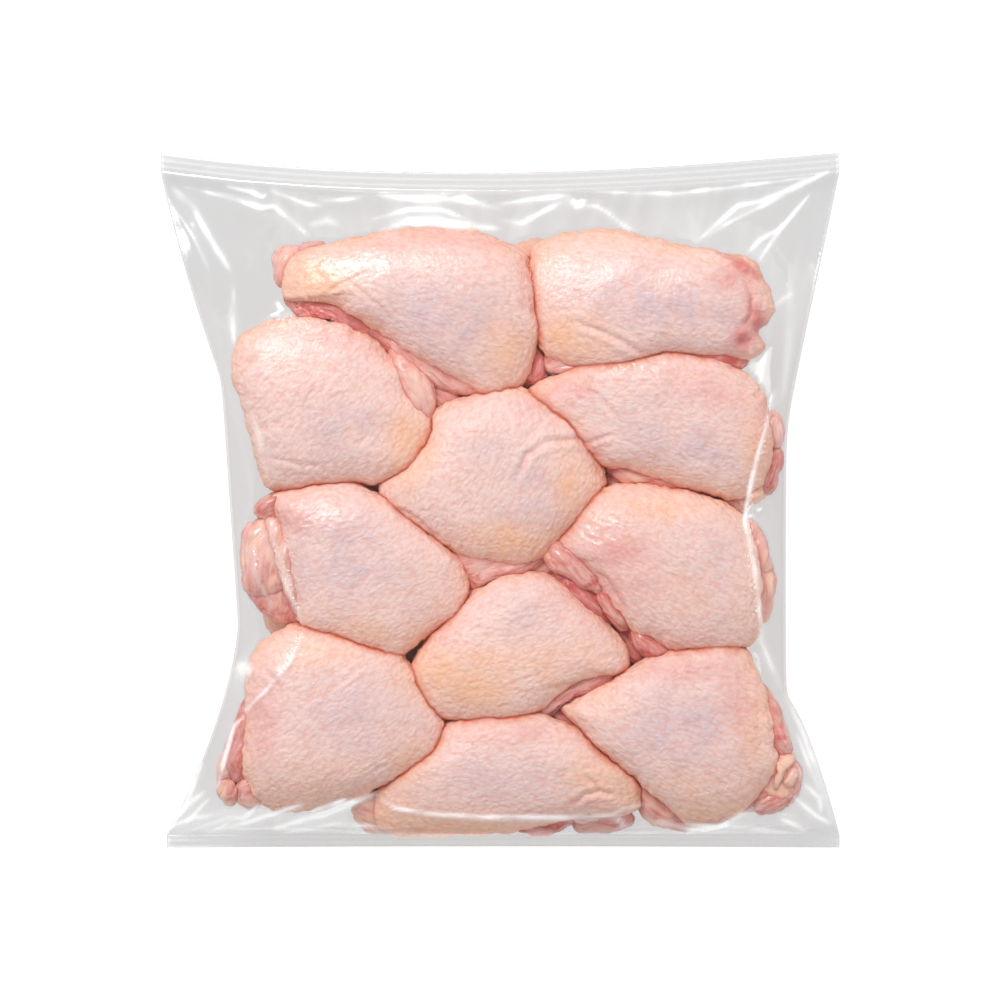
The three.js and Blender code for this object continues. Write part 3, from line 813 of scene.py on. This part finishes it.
def skin_finish(colours):
    """Raw skin: pale pink, lilac where the meat shows through, amber towards the edge, wet, with painted
    shade where it meets a neighbour.
    """
    skin = Finish("Raw skin")
    depth = skin.painted("depth")
    contact = skin.painted("contact")
    flow = skin.painted_place("flow")
    blotch = skin.noise(95, 1.5, 0.6).eased(0.36, 0.68)
    uneven = 0.55 + 0.9 * skin.noise(60, 1, 0.6).eased(0.3, 0.7)
    pores = skin.node("TexVoronoi", {}, {"Vector": flow, "Scale": 400, "Randomness": 0.9})
    valley = (1 - skin.painted("bump")) * 0.5 + pores.eased(0.25, 0.8) * 0.5
    wrinkle = skin.noise(420, 2, 0.65, flow).eased(0.35, 0.7)
    colour = skin.washed(tuple(colours.skin), (
        ("skin_warm", blotch * 0.5),
        ("skin_lilac", skin.painted("lilac") * uneven * 0.9),
        ("skin_amber", depth.eased(0.2, 0.9) * uneven * 0.55),
        ("skin_amber", skin.painted("amber") * uneven),
        ("skin_rose", skin.painted("rose") * uneven),
        # Paler on the raised wrinkles and pinker, darker in their valleys and pores: in part the skin's
        # own colour, in part painted highlight and painted shade.
        ("skin_pale", wrinkle * 0.2),
        ("skin_crease_shade", valley.eased(0.3, 0.9) * 0.26),
        ("skin_fat", depth.eased(0.5, 1.0) * (0.3 + skin.painted("grains")) * 0.7),
        ("meat_red", skin.painted("raw") * uneven * 0.6),
        # Painted shade near a neighbour: a wide pink-orange fall-off, dark red-brown where the pieces
        # touch.
        ("skin_crease_shade", contact.eased(0.0, 0.9) * (0.35 + 0.5 * blotch)),
        ("contact", contact.eased(0.65, 1.0) * (0.3 + 0.5 * uneven)),
    ), colours)
    relief = wrinkle * 0.65 - pores * 1.3
    wet = skin.painted("wet") * (0.35 + 0.65 * wrinkle)
    shader = skin.node("BsdfPrincipled", {}, {
        "Base Color": colour,
        "Roughness": 0.5 - 0.15 * wet,
        "IOR": 1.4,
        "Coat Weight": 0.12 + 0.88 * wet,
        "Coat Roughness": 0.16,
        "Normal": skin.bump(relief, 0.48, 0.0006),
    })
    return skin.surface(shader)


def meat_finish(colours):
    """Bare meat: pink to deep red fibres with pale membrane and cream fat, with painted shade near its
    neighbours and where it lies deep.
    """
    meat = Finish("Bare meat")
    flow = meat.painted_place("flow")
    patch = meat.noise(90, 1, 0.6).eased(0.4, 0.7)
    contact = meat.painted("contact")
    streak = meat.noise(450, 2, 0.65, flow)
    web = meat.noise(170, 2, 0.6, flow).eased(0.42, 0.62)
    colour = meat.washed(tuple(colours.meat_pale), (
        ("meat_red", meat.painted("red")),
        ("meat_pale", streak.eased(0.45, 0.7) * 0.45),
        ("meat_deep", streak.eased(0.55, 0.3) * 0.28),
        ("meat_fat", meat.painted("fat").eased(0.25, 0.75)),
        ("skin", web * 0.25),
        ("skin_pale", patch * 0.14),
        # Painted shade near the thighs and other pieces, and where the meat lies deep below its top.
        ("meat_deep", contact.eased(0.4, 1.0) * 0.3),
        ("contact", contact.eased(0.85, 1.0) * 0.4),
        ("contact", meat.painted("depth").eased(0.9, 2.0) * 0.6),
    ), colours)
    shader = meat.node("BsdfPrincipled", {}, {
        "Base Color": colour,
        "Roughness": 0.42,
        "IOR": 1.4,
        "Coat Weight": 0.3 + 0.6 * web,
        "Coat Roughness": 0.14,
        "Normal": meat.bump(streak + web * 0.6, 0.6, 0.0009),
    })
    return meat.surface(shader)


def film_finish(settings):
    """Clear film: see-through, glossy where it turns away, milky along its seals, with painted
    highlights along its folds and painted sheen over its loose parts.
    """
    film = Finish("Clear film")
    cloud = film.painted("cloud")
    gloss = film.node("LayerWeight", {}, {"Blend": 0.18}, out=0)
    slack = film.painted("slack")
    sheen = 0.012 + (gloss * 0.3 + 0.02) * (0.12 + 0.88 * slack)
    cover = sheen + cloud
    cling = film.noise(420, 1, 0.6) * (1 - slack.eased(0.0, 0.3))
    body = film.node("BsdfPrincipled", {}, {
        "Base Color": tuple(settings.film_white),
        "Metallic": 1 - cloud.eased(0.02, 0.4),
        "Roughness": 0.26 - 0.16 * slack,
        "Normal": film.bump(film.noise(90, 1, 0.5) + cling, 0.3, 0.002),
    })
    clear = film.node("BsdfTransparent", {}, {"Color": tuple(settings.film_tint)})
    return film.surface(film.node("MixShader", {}, {0: cover, 1: clear, 2: body}))


def past_bend(distance, softness):
    return (distance + np.sqrt(distance * distance + softness * softness)) / 2


def flared(distance, reach, bend, curve):
    """The share of the way to its corner that a side has flared out at a distance past its bend."""
    return np.minimum(1, past_bend(distance, bend) / past_bend(reach, bend)) ** curve


def side_x(y, side, top, bottom):
    """Where a side of the bag runs at a height of the picture."""
    start = side[0] + side[1] * y
    up = flared(y - top[1], CORNER_Y - TOP_SEAL - top[1], top[2], top[3])
    down = flared(bottom[1] - y, bottom[1] + CORNER_Y - BOTTOM_SEAL, bottom[2], bottom[3])
    return start + (top[0] - start) * up + (bottom[0] - start) * down


def left_x(y):
    return side_x(y, LEFT_SIDE, FLARES["top_left"], FLARES["bottom_left"])


def right_x(y):
    return side_x(y, RIGHT_SIDE, FLARES["top_right"], FLARES["bottom_right"])


def top_edge_y(x):
    return CORNER_Y - TOP_SAG * (1 - np.abs(x / CORNER_X) ** np.where(x < 0, *TOP_CURVES))


def bottom_edge_y(x):
    return -CORNER_Y + BOTTOM_SAG * (1 - (x / CORNER_X) ** 2)


def fold_height(across, along):
    """Height of the bag's edge: high at the sides' middle, low at the corners."""
    share = across * across
    seal = np.where(along > 0, mix(TOP_SEAL_MIDDLE, TOP_SEAL_CORNER, share),
                    mix(BOTTOM_SEAL_MIDDLE, BOTTOM_SEAL_CORNER, share))
    return mix(SIDE_FOLD, seal, np.abs(along) ** 5)


def crowded_ends(share):
    """Spreads the lines of the film so that they lie closer near its edges."""
    return 0.62 * np.sin(share * math.pi / 2) + 0.38 * share


def line_distance(x, y, points):
    """How far each place is from a bent line, and how far along it is, from 0 to 1."""
    nearest = np.full(x.shape, 1e9)
    along = np.zeros(x.shape)
    steps = len(points) - 1
    for index in range(steps):
        (x0, y0), (x1, y1) = points[index], points[index + 1]
        run = (x1 - x0) ** 2 + (y1 - y0) ** 2
        share = np.clip(((x - x0) * (x1 - x0) + (y - y0) * (y1 - y0)) / run, 0, 1)
        gap = np.hypot(x - x0 - share * (x1 - x0), y - y0 - share * (y1 - y0))
        along = np.where(gap < nearest, (index + share) / steps, along)
        nearest = np.minimum(nearest, gap)
    return nearest, along


def contents_height(x, y, upwards):
    """The highest or lowest that the contents reach at each place, not a number where there are none."""
    graph = bpy.context.evaluated_depsgraph_get()
    cast = bpy.context.scene.ray_cast
    start = RAY_BELOW if upwards else RAY_ABOVE
    way = Vector((0, 0, 1 if upwards else -1))
    found = np.full(x.shape, np.nan)
    for index in np.ndindex(x.shape):
        hit, place, *_ = cast(graph, Vector((x[index] * MM, y[index] * MM, start)), way)
        if hit:
            found[index] = place.z / MM
    return found


def draped(start, blocked, fixed, sign, rounds=900):
    """Pulls a sheet tight over what blocks it, keeping the fixed places."""
    height = start.copy()
    for _ in range(rounds):
        middle = (height[:-2, 1:-1] + height[2:, 1:-1] + height[1:-1, :-2] + height[1:-1, 2:]) / 4
        height[1:-1, 1:-1] = np.where(fixed[1:-1, 1:-1], start[1:-1, 1:-1], middle)
        height = np.where(fixed, height, np.fmax(height * sign, blocked * sign) * sign)
    return height


def spread(field, sign):
    """Widens what blocks a sheet by one step each way, so that it keeps clear of steep sides."""
    wide = field.copy()
    for axis, step in ((0, 1), (0, -1), (1, 1), (1, -1)):
        wide = np.fmax(wide * sign, np.roll(field, step, axis) * sign) * sign
    return wide


def wander_along(x, y):
    """Places stretched along the nearer side of the bag, for streaks that run up and down it."""
    slant = np.where(y > 0, 0.22, -0.3) * np.sign(x)
    across = x - slant * y
    return np.stack([across.ravel(), y.ravel() * 0.1, x.ravel() * 0], 1)


def film_sheet(made, upper):
    """One of the two sheets of the bag: its bmesh points, where they go and how white they are: milky
    seals and edges, painted highlights along the folds, painted sheen over the loose film.
    """
    verts = bmesh.ops.create_grid(made, x_segments=FILM_COLUMNS, y_segments=FILM_ROWS, size=1.0)["verts"]
    unit = np.array([v.co[:2] for v in verts])
    order = np.lexsort((unit[:, 0], unit[:, 1]))
    unit = unit[order].reshape(FILM_ROWS + 1, FILM_COLUMNS + 1, 2)
    across = crowded_ends(unit[..., 0])
    near_x = across * CORNER_X
    rows = (crowded_ends(unit[..., 1]) + 1) / 2
    y = mix(bottom_edge_y(near_x), top_edge_y(near_x), rows)
    x = mix(left_x(y), right_x(y), (across + 1) / 2)
    low_edge = bottom_edge_y(x)
    high_edge = top_edge_y(x)
    inner = (y - low_edge - BOTTOM_SEAL) / (high_edge - TOP_SEAL - low_edge - BOTTOM_SEAL)
    along = np.clip(2 * inner - 1, -1, 1)
    edge_height = fold_height(across, along)
    fixed = (inner <= 0) | (inner >= 1)
    fixed[:, [0, -1]] = True
    fixed[[0, -1], :] = True
    sign = 1 if upper else -1
    blocked = spread(contents_height(x, y, not upper) + sign * FILM_GAP, sign)
    if not upper:
        blocked = np.fmax(blocked, FILM_REST)
    height = draped(edge_height, blocked, fixed, sign)
    unsealed = np.where(fixed, 0, 1)
    height = height + sign * 0.5 * unsealed
    flat = np.stack([x.ravel(), y.ravel(), np.full(x.size, SHEETS_APART * sign)], 1)
    loose = unsealed * np.clip(np.minimum(across + 1, 1 - across) * 12, 0, 1)
    free = np.isnan(blocked) * loose
    streaks = smooth_share(waves(wander_along(x, y), 6, 97), -0.3, 0.8)
    wander = flat + np.stack([waves(flat, 40, 70 + k) for k in (0, 2, 4)], 1) * 8
    ripple = waves(wander, 26, 70) * 1.0 + waves(wander, 9, 77) * 0.3
    crease = np.clip(1 - np.abs(waves(wander * (1, 1.6, 1), 34, 90)) * 9, 0, 1) ** 2
    crease = crease * smooth_share(waves(flat, 30, 95), -0.1, 0.5)
    height = height + (ripple + crease * 0.8).reshape(x.shape) * free
    # Painted sheen over the loose film, in part its own milkiness: a faint whitish haze, streaks along
    # the sides, and painted highlights along its creases that grow towards the lower corners.
    corner = smooth_share(np.abs(x), 90, 170) * smooth_share(-y, 90, 175)
    sheen_haze = 0.03 * smooth_share(waves(flat, 30, 83), 0.0, 0.7) + streaks * 0.09
    cloud = 0.006 + (sheen_haze.reshape(x.shape) + crease.reshape(x.shape) * (0.12 + 0.3 * corner)) * free
    if upper:
        for points, width, white, ridge in FOLDS:
            # Painted highlights along the listed folds, with a soft halo and stronger towards the bottom
            # of the bag; where the film is not sealed each fold is also raised into a ridge.
            gap, part = line_distance(x, y, points)
            full = np.sin(math.pi * np.clip(part, 0.0, 1.0)) ** 0.5
            broken = 0.45 + 0.75 * smooth_share(waves(flat, 11, 60).reshape(x.shape), -0.5, 0.4)
            line = np.exp(-(gap / (width * (0.4 + 0.6 * full) + 0.35)) ** 2) * (0.15 + 0.85 * full)
            halo = 0.2 * np.exp(-(gap / (width * 3.2)) ** 2) * full
            cloud = cloud + (line * broken + halo) * white * (1 + 0.8 * smooth_share(-y, 100, 150))
            height = height + line * ridge * 0.8 * unsealed
    seal = fixed.astype(float)
    seal[:, [0, -1]] = 0
    lines = np.sin(np.minimum(high_edge - y, y - low_edge) * 2 * math.pi / SEAL_STEP + 0.6)
    cloud = cloud + 0.14 * seal + 0.09 * seal * lines
    edge_band = np.zeros(x.shape)
    edge_band[:, :MILKY_COLUMNS] = edge_band[:, -MILKY_COLUMNS:] = 1
    cloud = cloud + 0.12 * edge_band
    thick = np.where(fixed, SEAL_HALF, 0.0) * sign
    thick[:, [0, -1]] = 0
    thick[[0, -1], :] = 0
    height = np.maximum(height + thick, FILM_LEAST)
    places = np.stack([x, y, height], -1).reshape(-1, 3) * MM
    layers = made.verts.layers.float
    slack = np.maximum(free, fixed * 0.35)
    for spot, place, white, loose_share in zip(order, places, cloud.ravel(), slack.ravel()):
        vert = verts[spot]
        vert.co = place
        vert[layers["cloud"]] = white
        vert[layers["slack"]] = loose_share


def make_film():
    """The whole bag: two sheets that meet all round."""
    made, below = bmesh.new(), bmesh.new()
    for sheet in (made, below):
        sheet.verts.layers.float.new("cloud")
        sheet.verts.layers.float.new("slack")
        film_sheet(sheet, sheet is made)
    bmesh.ops.reverse_faces(below, faces=below.faces)
    lower = bpy.data.meshes.new("lower sheet")
    below.to_mesh(lower)
    below.free()
    made.from_mesh(lower)
    bpy.data.meshes.remove(lower)
    bmesh.ops.remove_doubles(made, verts=[v for v in made.verts if v.is_boundary], dist=0.00002)
    return new_piece("bag_film", made)


class BagSettings(bpy.types.PropertyGroup):
    """Sizes and colours of the bag and what it holds."""

    skin: colour_setting("Skin", "Pale pink of the skin", (250, 213, 206))
    skin_lilac: colour_setting("Lilac skin", "Skin where the meat shows through", (224, 195, 199))
    skin_warm: colour_setting("Warm skin", "Peach blotches of the skin", (254, 210, 195))
    skin_pale: colour_setting("Goose bumps", "Tops of the goose bumps", (255, 226, 214))
    skin_amber: colour_setting("Skin edge", "Fatty skin near the edge", (255, 199, 166))
    skin_rose: colour_setting("Rosy skin", "Thin skin over red meat", (232, 148, 142))
    skin_fat: colour_setting("Fatty rim", "Lumps of fat at the skin's rim", (246, 178, 140))
    # Painted shade near a neighbour and in the skin's wrinkle valleys.
    skin_crease_shade: colour_setting("Crease", "Skin near a neighbour", (228, 142, 112))
    # Painted shade where two pieces touch.
    contact: colour_setting("Contact", "Where two thighs meet", (196, 84, 58))
    meat_pale: colour_setting("Pale meat", "Membrane over the meat", (252, 200, 186))
    meat_red: colour_setting("Red meat", "Deepest colour of the meat", (212, 88, 82))
    # Deep red of the darker fibres, also the painted shade of the meat near its neighbours and deep
    # down.
    meat_deep: colour_setting("Deep meat", "Meat in clefts and shade", (190, 74, 66))
    meat_fat: colour_setting("Fat", "Fat and sinew on the meat", (253, 204, 176))
    film_white: colour_setting("Film glare", "Light off the film", (250, 250, 250))
    film_tint: colour_setting("Film tint", "Light through the film", (232, 232, 232))
    front_detail: bpy.props.IntProperty(
        name="Front detail", description="How often the balls of the front thighs are divided",
        default=7, min=4, max=7)
    back_detail: bpy.props.IntProperty(
        name="Back detail", description="How often the balls of the back thighs are divided",
        default=6, min=4, max=7)
    camera_height: bpy.props.FloatProperty(
        name="Camera height", description="Height of the camera over the floor",
        default=8.0, unit="LENGTH")
    view_width: bpy.props.FloatProperty(
        name="View width", description="Width that the picture takes in at the bag",
        default=0.55, unit="LENGTH")


def coarse(detail):
    """The detail to divide a ball by, returned as given."""
    return detail


class MESH_OT_front_thighs(bpy.types.Operator):
    """Add the eleven thighs that lie on top"""

    bl_idname = "mesh.thigh_bag_front"
    bl_label = "Front Thighs"

    def execute(self, context):
        settings = context.scene.thigh_bag
        material = skin_finish(settings)
        pieces = []
        for index, (name, (low, grain, marks)) in enumerate(THIGHS.items()):
            detail = coarse(settings.front_detail)
            piece = thigh("thigh_" + name, marks, grain, low, FRONT_LAYER, detail, 100 + 61 * index)
            settle(piece, material)
            pieces.append(piece)
        paint_contact_shade(pieces, [low for low, grain, marks in THIGHS.values()])
        return {"FINISHED"}


class MESH_OT_back_thighs(bpy.types.Operator):
    """Add the eleven thighs of the layer beneath"""

    bl_idname = "mesh.thigh_bag_back"
    bl_label = "Back Thighs"

    def execute(self, context):
        settings = context.scene.thigh_bag
        material = bpy.data.materials["Raw skin"]
        for index, (name, (low, grain, marks)) in enumerate(THIGHS.items()):
            detail = coarse(settings.back_detail)
            piece = thigh("back_thigh_" + name, marks, grain, low, BACK_LAYER, detail, 900 + 61 * index)
            settle(piece, material)
        return {"FINISHED"}


class MESH_OT_bare_meat(bpy.types.Operator):
    """Add the ends and strips of meat that the skin leaves bare"""

    bl_idname = "mesh.thigh_bag_meat"
    bl_label = "Bare Meat"

    def execute(self, context):
        settings = context.scene.thigh_bag
        material = meat_finish(settings)
        pieces = []
        for index, (name, (top, red, fat, turn, marks)) in enumerate(MEAT.items()):
            detail = coarse(MEAT_DETAIL)
            piece = bare_meat("meat_" + name, marks, top, red, fat, turn, detail, 500 + 37 * index)
            settle(piece, material)
            pieces.append(piece)
        thighs = [piece for piece in context.scene.objects if piece.name.startswith("thigh_")]
        paint_contact_shade(pieces, [1] * len(pieces) + [0] * len(thighs), thighs)
        return {"FINISHED"}


class MESH_OT_bag_film(bpy.types.Operator):
    """Add the clear bag round the thighs"""

    bl_idname = "mesh.thigh_bag_film"
    bl_label = "Clear Bag"

    def execute(self, context):
        settings = context.scene.thigh_bag
        context.view_layer.update()
        frame["nodes"]["bag"].hide_viewport = True
        piece = make_film()
        settle(piece, film_finish(settings))
        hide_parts("bag")
        return {"FINISHED"}


def soft_box(name, place, size, power):
    """A square lamp that looks at the bag."""
    lamp = bpy.data.lights.new(name, "AREA")
    lamp.shape = "RECTANGLE"
    lamp.size, lamp.size_y = size
    lamp.energy = power
    box = bpy.data.objects.new(name, lamp)
    box.location = place
    box.rotation_euler = (-Vector(place)).to_track_quat("-Z", "Y").to_euler()
    box.visible_camera = False
    bpy.context.scene.collection.objects.link(box)


def floor_finish():
    """A pale floor that stays white under the lamps."""
    floor = Finish("Pale floor")
    glow = floor.node("Emission", {}, {"Color": (1.0, 1.0, 1.0), "Strength": 0.85})
    matt = floor.node("BsdfDiffuse", {}, {"Color": (0.25, 0.25, 0.25)})
    return floor.surface(floor.node("AddShader", {}, {0: glow, 1: matt}))


class MESH_OT_stage(bpy.types.Operator):
    """Add the floor, the lamps and the camera"""

    bl_idname = "mesh.thigh_bag_stage"
    bl_label = "Stage"

    def execute(self, context):
        scene = context.scene
        settings = scene.thigh_bag
        made = bmesh.new()
        bmesh.ops.create_grid(made, x_segments=1, y_segments=1, size=FLOOR_SIZE)
        floor = new_piece("floor", made)
        floor.data.materials.append(floor_finish())
        soft_box("left soft box", (-0.8, 1.5, 2.0), (1.3, 0.9), 62)
        soft_box("right soft box", (2.2, 0.2, 0.7), (0.5, 1.4), 10)
        world = bpy.data.worlds.new("studio")
        world.use_nodes = True
        world.node_tree.nodes["Background"].inputs["Color"].default_value = (1.0, 1.0, 1.0, 1.0)
        world.node_tree.nodes["Background"].inputs["Strength"].default_value = STUDIO_LIGHT
        scene.world = world
        scene.view_settings.view_transform = "Standard"
        view = bpy.data.cameras.new("camera")
        view.lens = view.sensor_width * (settings.camera_height - VIEW_LEVEL) / settings.view_width
        camera = bpy.data.objects.new("camera", view)
        camera.location = (0, 0, settings.camera_height)
        scene.collection.objects.link(camera)
        scene.camera = camera
        return {"FINISHED"}


class VIEW3D_PT_thigh_bag(bpy.types.Panel):
    """Settings and pieces of the bag"""

    bl_label = "Bag of Thighs"
    bl_space_type = "VIEW_3D"
    bl_region_type = "UI"
    bl_category = "Thighs"

    def draw(self, context):
        settings = context.scene.thigh_bag
        for name in settings.bl_rna.properties.keys():
            if name not in ("rna_type", "name"):
                self.layout.prop(settings, name)
        for operator in OPERATORS:
            self.layout.operator(operator.bl_idname)


OPERATORS = (
    MESH_OT_front_thighs, MESH_OT_back_thighs, MESH_OT_bare_meat, MESH_OT_bag_film, MESH_OT_stage)
CLASSES = (BagSettings, *OPERATORS, VIEW3D_PT_thigh_bag)


def register():
    for part in CLASSES:
        bpy.utils.register_class(part)
    bpy.types.Scene.thigh_bag = bpy.props.PointerProperty(type=BagSettings)


def unregister():
    del bpy.types.Scene.thigh_bag
    for part in reversed(CLASSES):
        bpy.utils.unregister_class(part)


def main():
    """Builds the bag."""
    register()
    bpy.ops.mesh.thigh_bag_front()
    bpy.ops.mesh.thigh_bag_back()
    bpy.ops.mesh.thigh_bag_meat()
    bpy.ops.mesh.thigh_bag_film()
    bpy.ops.mesh.thigh_bag_stage()


if __name__ == "__main__":
    main()
